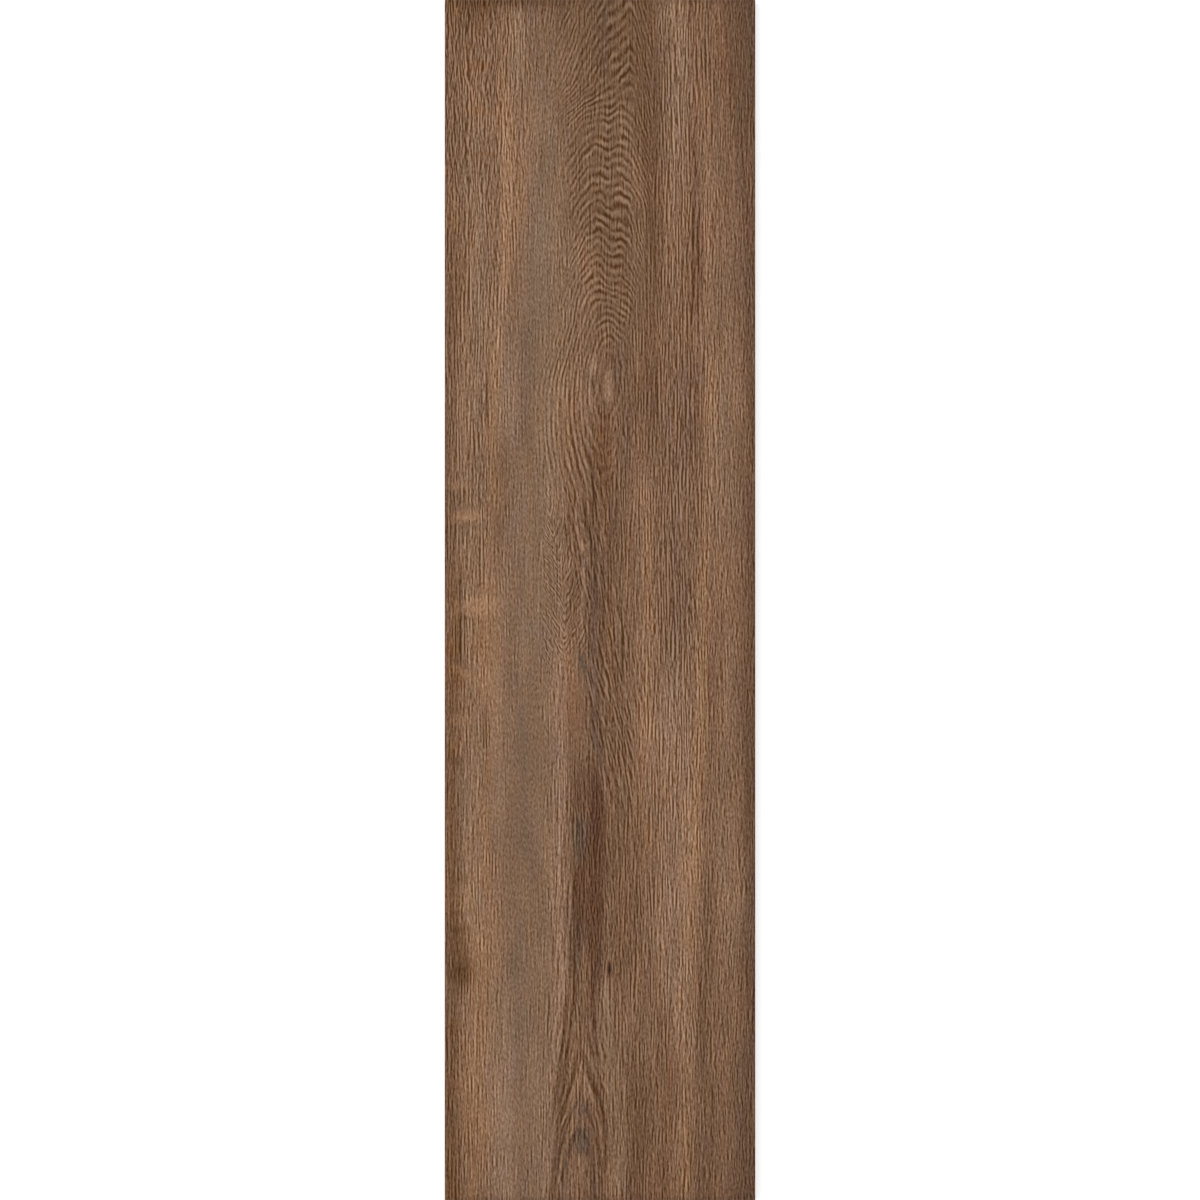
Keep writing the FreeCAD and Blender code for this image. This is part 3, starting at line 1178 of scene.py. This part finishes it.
@dataclass
class Shell:
    """Points and faces of the tile's mesh while it is built.

    Attributes:
        points: groups of points, each a table of three columns.
        faces: point numbers of each face.
        zones: surface of each face.
    """

    points: list[np.ndarray] = field(default_factory=list)
    faces: list[list[int]] = field(default_factory=list)
    zones: list[Zone] = field(default_factory=list)

    def add_points(self, x: np.ndarray, y: np.ndarray, z: np.ndarray) -> np.ndarray:
        """Adds points.

        Args:
            x: places across the tile.
            y: places along the tile.
            z: heights above the back.

        Returns:
            The numbers of the new points.
        """
        first = sum(len(group) for group in self.points)
        self.points.append(np.stack([x, y, z], axis=1))
        return first + np.arange(len(x))

    def add_faces(self, faces: list[list[int]], zone: Zone) -> None:
        """Adds faces of one surface.

        Args:
            faces: point numbers of each face.
            zone: the surface.
        """
        self.faces += faces
        self.zones += [zone] * len(faces)


@dataclass(frozen=True)
class BakeSheet:
    """Places of the tile's surfaces on the square sheet that a bake draws them on.

    All of them run the full height of the sheet.  The face takes most of its width, because the print is
    far finer across the grain than along it.

    Attributes:
        margin: free edge at the foot and head of the sheet.
        face: left and right edge of the face.
        back: left and right edge of the back.
        sides: left edges of the strips for the left, right, foot and head side.
        strip: width of such a strip.
        back_limit: upward part of a face's direction below which it belongs to the back.
    """

    margin: float = 0.01
    face: tuple[float, float] = (0.01, 0.71)
    back: tuple[float, float] = (0.72, 0.94)
    sides: tuple[float, float, float, float] = (0.948, 0.961, 0.974, 0.987)
    strip: float = 0.008
    back_limit: float = -0.5

    def lay_out(self, mesh: bpy.types.Mesh) -> None:
        """Gives the tile's mesh its map for baking.

        Args:
            mesh: the closed mesh of the tile, with its materials' numbers set.
        """
        points = np.empty(len(mesh.vertices) * 3)
        normals = np.empty(len(mesh.polygons) * 3)
        zones = np.empty(len(mesh.polygons), np.int32)
        sizes = np.empty(len(mesh.polygons), np.int32)
        corners = np.empty(len(mesh.loops), np.int32)
        mesh.vertices.foreach_get("co", points)
        mesh.polygons.foreach_get("normal", normals)
        mesh.polygons.foreach_get("material_index", zones)
        mesh.polygons.foreach_get("loop_total", sizes)
        mesh.loops.foreach_get("vertex_index", corners)
        points = points.reshape(-1, 3)
        share = (points - points.min(0)) / np.ptp(points, axis=0)
        across, along, up = share[corners].T
        facing_x, facing_y, facing_z = np.repeat(normals.reshape(-1, 3), sizes, axis=0).T
        glazed = np.repeat(zones, sizes) == Zone.GLAZE
        under = facing_z < self.back_limit
        endways = np.abs(facing_y) > np.abs(facing_x)
        left, right, foot, head = self.sides
        strip = np.where(endways, np.where(facing_y < 0, foot, head), np.where(facing_x < 0, left, right))
        face_left, face_right = self.face
        back_left, back_right = self.back
        on_face = face_left + (face_right - face_left) * across
        on_back = back_left + (back_right - back_left) * across
        u = np.where(glazed, on_face, np.where(under, on_back, strip + self.strip * up))
        v = np.where(endways & ~glazed & ~under, across, along)
        v = self.margin + (1 - 2 * self.margin) * v
        layer = mesh.uv_layers.new(name=BAKE_MAP)
        layer.uv.foreach_set("vector", np.stack([u, v], axis=1).astype(np.float32).ravel())


@dataclass
class PlankTile:
    """The whole tile: a fine grid for the face, a closed run of edge section round it, and the keyed back.

    Attributes:
        width: width of the tile, from the frame.
        length: length of the tile, from the frame.
        thickness: thickness of the tile, from the frame.
        arris_radius: radius of the rounded edge of the face.
        arris_steps: number of flats round the arris.
        flank_lean: lean of the upper side wall, in degrees.
        land_top: height where the upright lower wall ends.
        back_chamfer: broken edge of the back.
        glaze_drop: how far the glaze runs down below the arris.
        cell_pitch: distance between the cells of the back's key.
        rib_width: width of a rib between two cells.
        key_depth: depth of a cell.
        cell_draft: slope of a cell's walls from upright, in degrees.
        least_rim: plain margin round the key.
        columns: number of grid squares across the face.
        rows: number of grid squares down the face.
        relief: depth of the grain relief in the face.
        relief_margin: distance from the arris over which the relief grows.
        figure: figure of the oak print.
        tones: broad tones of the oak print, with painted shade towards the sides.
    """

    width: float
    length: float
    thickness: float
    arris_radius: float = 1.0
    arris_steps: int = 5
    flank_lean: float = 4.0
    land_top: float = 6.0
    back_chamfer: float = 0.6
    glaze_drop: float = 0.8
    cell_pitch: float = 25.0
    rib_width: float = 3.0
    key_depth: float = 0.7
    cell_draft: float = 40.0
    least_rim: float = 8.0
    columns: int = 256
    rows: int = 320
    relief: float = 0.05
    relief_margin: float = 6.0
    figure: OakFigure = OakFigure()
    tones: PrintTones = PrintTones()

    def section(self) -> list[tuple[float, float]]:
        """Walks down the edge section from the face to the back.

        Returns:
            Pairs of inset from the side of the tile and height above the back.
        """
        lean = math.radians(self.flank_lean)
        rise = self.thickness - self.arris_radius - self.land_top
        centre_inset = (self.arris_radius + rise * math.sin(lean)) / math.cos(lean)
        centre_height = self.thickness - self.arris_radius
        points = []
        for angle in np.linspace(math.pi / 2, lean, self.arris_steps + 1):
            inset = centre_inset - self.arris_radius * math.cos(angle)
            points.append((inset, centre_height + self.arris_radius * math.sin(angle)))
        foot_inset, foot_height = points[-1]
        points.append((foot_inset - self.glaze_drop * math.tan(lean), foot_height - self.glaze_drop))
        points += [(0, self.land_top), (0, self.back_chamfer), (self.back_chamfer, 0)]
        return points

    def key_lines(self, span: float) -> list[tuple[float, float]]:
        """Places the lines of the back's key over a span.

        Args:
            span: width or length of the tile.

        Returns:
            Pairs of place from the middle and depth of the key on that line.
        """
        count = int((span - 2 * self.least_rim + self.rib_width) // self.cell_pitch)
        mouth = (self.cell_pitch - self.rib_width) / 2
        floor = mouth - self.key_depth * math.tan(math.radians(self.cell_draft))
        lines = []
        for i in range(count):
            centre = (i - (count - 1) / 2) * self.cell_pitch
            lines += [(centre - mouth, 0), (centre - floor, self.key_depth)]
            lines += [(centre + floor, self.key_depth), (centre + mouth, 0)]
        return lines

    def add_face(self, shell: Shell) -> np.ndarray:
        """Adds the face, with its relief.

        Args:
            shell: the mesh so far.

        Returns:
            The numbers of the points round its border, anticlockwise from the lower left.
        """
        inset = self.section()[0][0]
        half_width = self.width / 2 - inset
        half_length = self.length / 2 - inset
        xs = np.linspace(-half_width, half_width, self.columns + 1)
        ys = np.linspace(-half_length, half_length, self.rows + 1)
        x, y = (g.ravel() for g in np.meshgrid(xs, ys))
        fields = self.figure.fields(x, self.length / 2 - y)
        groove = (1 + np.cos(2 * math.pi * fields["arch_count"])) / 2 * fields["arch_share"]
        margin = np.minimum(half_width - np.abs(x), half_length - np.abs(y))
        depth = self.relief * groove * ease(margin, 0, self.relief_margin)
        number = shell.add_points(x, y, self.thickness - depth).reshape(self.rows + 1, self.columns + 1)
        squares = np.stack([number[:-1, :-1], number[:-1, 1:], number[1:, 1:], number[1:, :-1]], axis=2)
        shell.add_faces(squares.reshape(-1, 4).tolist(), Zone.GLAZE)
        return np.concatenate([number[0, :-1], number[:-1, -1], number[-1, :0:-1], number[:0:-1, 0]])

    def add_sides(self, shell: Shell, border: np.ndarray) -> np.ndarray:
        """Adds the edge section all round.

        Args:
            shell: the mesh so far.
            border: numbers of the points round the face.

        Returns:
            The numbers of the points round the back.
        """
        section = self.section()
        half_width = self.width / 2
        half_length = self.length / 2
        face_inset = section[0][0]
        x, y, _ = shell.points[0][border].T
        ring = border
        for step, (inset, height) in enumerate(section[1:]):
            lower = shell.add_points(
                x * (half_width - inset) / (half_width - face_inset),
                y * (half_length - inset) / (half_length - face_inset),
                np.full(len(x), height),
            )
            band = np.stack([ring, lower, np.roll(lower, -1), np.roll(ring, -1)], axis=1)
            shell.add_faces(band.tolist(), Zone.GLAZE if step <= self.arris_steps else Zone.BISCUIT)
            ring = lower
        return ring

    def add_back(self, shell: Shell, ring: np.ndarray) -> None:
        """Adds the back with its key.

        Args:
            shell: the mesh so far.
            ring: numbers of the points round the back.
        """
        columns = np.array(self.key_lines(self.width))
        rows = np.array(self.key_lines(self.length))
        x, y = np.meshgrid(columns[:, 0], rows[:, 0])
        depth = np.minimum(*np.meshgrid(columns[:, 1], rows[:, 1]))
        key = shell.add_points(x.ravel(), y.ravel(), depth.ravel()).reshape(x.shape)
        cells = np.stack([key[:-1, :-1], key[1:, :-1], key[1:, 1:], key[:-1, 1:]], axis=2)
        shell.add_faces(cells.reshape(-1, 4).tolist(), Zone.BISCUIT)
        corners = np.cumsum([0, self.columns, self.rows, self.columns, self.rows])
        closed = np.append(ring, ring[0])
        for side, inner in enumerate((key[0], key[:, -1], key[-1, ::-1], key[::-1, 0])):
            outer = closed[corners[side]:corners[side + 1] + 1]
            shell.add_faces([outer[::-1].tolist() + inner.tolist()], Zone.BISCUIT)

    def store(self, mesh: bpy.types.Mesh, name: str, values: np.ndarray) -> None:
        """Stores values on the mesh's points for its material to read.

        Args:
            mesh: the tile's mesh.
            name: name of the attribute.
            values: one number or three numbers a point.
        """
        kind, entry = ("FLOAT", "value") if values.ndim == 1 else ("FLOAT_VECTOR", "vector")
        attribute = mesh.attributes.new(name, kind, "POINT")
        attribute.data.foreach_set(entry, values.astype(np.float32).ravel())

    def build(self) -> bpy.types.Object:
        """Builds the dressed tile.

        Returns:
            The tile as one closed mesh object.
        """
        shell = Shell()
        border = self.add_face(shell)
        ring = self.add_sides(shell, border)
        self.add_back(shell, ring)
        points = np.concatenate(shell.points)
        mesh = bpy.data.meshes.new("plank_tile_dressed")
        mesh.from_pydata((points / METRE).tolist(), [], shell.faces)
        mesh.polygons.foreach_set("material_index", np.array(shell.zones, np.int32))
        mesh.polygons.foreach_set("use_smooth", np.array(shell.zones) == Zone.GLAZE)
        x, y, _ = points.T
        down = self.length / 2 - y
        inset = np.minimum(self.width / 2 - np.abs(x), self.length / 2 - np.abs(y))
        for name, values in self.figure.fields(x, down).items():
            self.store(mesh, name, values)
        # Stores the print's broad tones together with the painted shade towards the sides of the tile.
        self.store(mesh, "print_tone_and_rim_shade", self.tones.at(x, down, inset))
        mesh.update()
        BakeSheet().lay_out(mesh)
        tile = bpy.data.objects.new("plank_tile_dressed", mesh)
        bpy.context.scene.collection.objects.link(tile)
        return tile

    def dress(self, tile: bpy.types.Object) -> None:
        """Gives the tile its finishes and its place in the frame.

        Args:
            tile: the built tile.
        """
        tile.data.materials.append(PrintedMattGlaze().material())
        tile.data.materials.append(FiredBiscuit().material())
        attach(tile, BODY)
        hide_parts(NODE)


@dataclass
class Studio:
    """Plain white studio: a floor, an even sky and one large soft lamp.

    Attributes:
        floor_side: side of the square floor.
        floor_drop: how far the floor lies below the tile.
        paper: brightness of the floor's own white.
        glow: light that the floor adds for the camera, so that it shows white.
        sky: strength of the even light from all round.
        lamp: power of the soft lamp, in watts.
        lamp_side: side of the square lamp.
        lamp_height: height of the lamp above the floor.
        lamp_shift: how far the lamp stands to the upper left.
        lens: focal length of the camera, in millimetres.
        sensor: width of the camera's sensor, in millimetres.
    """

    floor_side: float = 12.0
    floor_drop: float = 0.0002
    paper: float = 0.6
    glow: float = 0.55
    sky: float = 0.72
    lamp: float = 60.0
    lamp_side: float = 2.5
    lamp_height: float = 3.0
    lamp_shift: float = 1.6
    lens: float = 100.0
    sensor: float = 36.0

    def seen(self, tree: bpy.types.NodeTree) -> bpy.types.NodeSocket:
        """Tells the rays that show the white background from those that light the tile.

        Args:
            tree: the node tree of the floor's material or of the world.

        Returns:
            A socket that is 1 for camera, glossy and transmission rays.
        """
        path = add_node(tree, "LightPath")
        shown = path.outputs["Is Camera Ray"]
        for ray in ("Is Glossy Ray", "Is Transmission Ray"):
            shown = add_node(tree, "Math", {0: shown, 1: path.outputs[ray]}, operation="MAXIMUM").outputs[0]
        return shown

    def floor(self) -> bpy.types.Object:
        """Lays the floor.

        Returns:
            The floor, white to the camera and still taking the tile's shadow.
        """
        half = self.floor_side / 2
        mesh = bpy.data.meshes.new("studio_floor")
        mesh.from_pydata(
            [(-half, -half, 0), (half, -half, 0), (half, half, 0), (-half, half, 0)], [], [(0, 1, 2, 3)],
        )
        floor = bpy.data.objects.new("studio_floor", mesh)
        floor.location.z = -self.floor_drop
        bpy.context.scene.collection.objects.link(floor)
        material = bpy.data.materials.new("studio_white_paper")
        tree = empty_tree(material)
        glow = add_node(tree, "Math", {0: self.seen(tree), 1: self.glow}, operation="MULTIPLY").outputs[0]
        paper = add_node(tree, "BsdfDiffuse", {"Color": (self.paper, self.paper, self.paper, 1)}).outputs[0]
        shine = add_node(tree, "Emission", {"Color": WHITE, "Strength": glow}).outputs[0]
        both = add_node(tree, "AddShader", {0: paper, 1: shine}).outputs[0]
        add_node(tree, "OutputMaterial", {"Surface": both})
        mesh.materials.append(material)
        return floor

    def light(self) -> None:
        """Hangs the sky and the lamp."""
        world = bpy.data.worlds.new("studio_sky")
        bpy.context.scene.world = world
        tree = empty_tree(world)
        strength = add_node(
            tree, "MapRange", {"Value": self.seen(tree), "To Min": self.sky, "To Max": 1.0},
        ).outputs[0]
        sky = add_node(tree, "Background", {"Color": WHITE, "Strength": strength}).outputs[0]
        add_node(tree, "OutputWorld", {"Surface": sky})
        data = bpy.data.lights.new("soft_lamp", "AREA")
        data.size = self.lamp_side
        data.energy = self.lamp
        lamp = bpy.data.objects.new("soft_lamp", data)
        lamp.location = (-self.lamp_shift, self.lamp_shift, self.lamp_height)
        lamp.rotation_euler = (-lamp.location).to_track_quat("-Z", "Y").to_euler()
        bpy.context.scene.collection.objects.link(lamp)

    def camera(self, tile: PlankTile) -> None:
        """Places the camera straight above the tile, so that its length fills the picture.

        Args:
            tile: the tile to frame.
        """
        data = bpy.data.cameras.new("plan_camera")
        data.lens = self.lens
        data.sensor_width = self.sensor
        reach = tile.length / METRE * self.lens / self.sensor
        camera = bpy.data.objects.new("plan_camera", data)
        camera.location = (0, 0, tile.land_top / METRE + reach)
        bpy.context.scene.collection.objects.link(camera)
        bpy.context.scene.camera = camera


def main() -> None:
    """Builds the tile and the studio."""
    logging.basicConfig(level=logging.INFO)
    bpy.context.scene.view_settings.view_transform = "Standard"
    low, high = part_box(NODE)
    width, length, thickness = ((b - a) * METRE for a, b in zip(low, high))
    plank = PlankTile(width, length, thickness)
    tile = plank.build()
    plank.dress(tile)
    log.info("%s: %d faces", tile.name, len(tile.data.polygons))
    studio = Studio()
    floor = studio.floor()
    log.info("%s laid", floor.name)
    studio.light()
    studio.camera(plank)


if __name__ == "__main__":
    main()
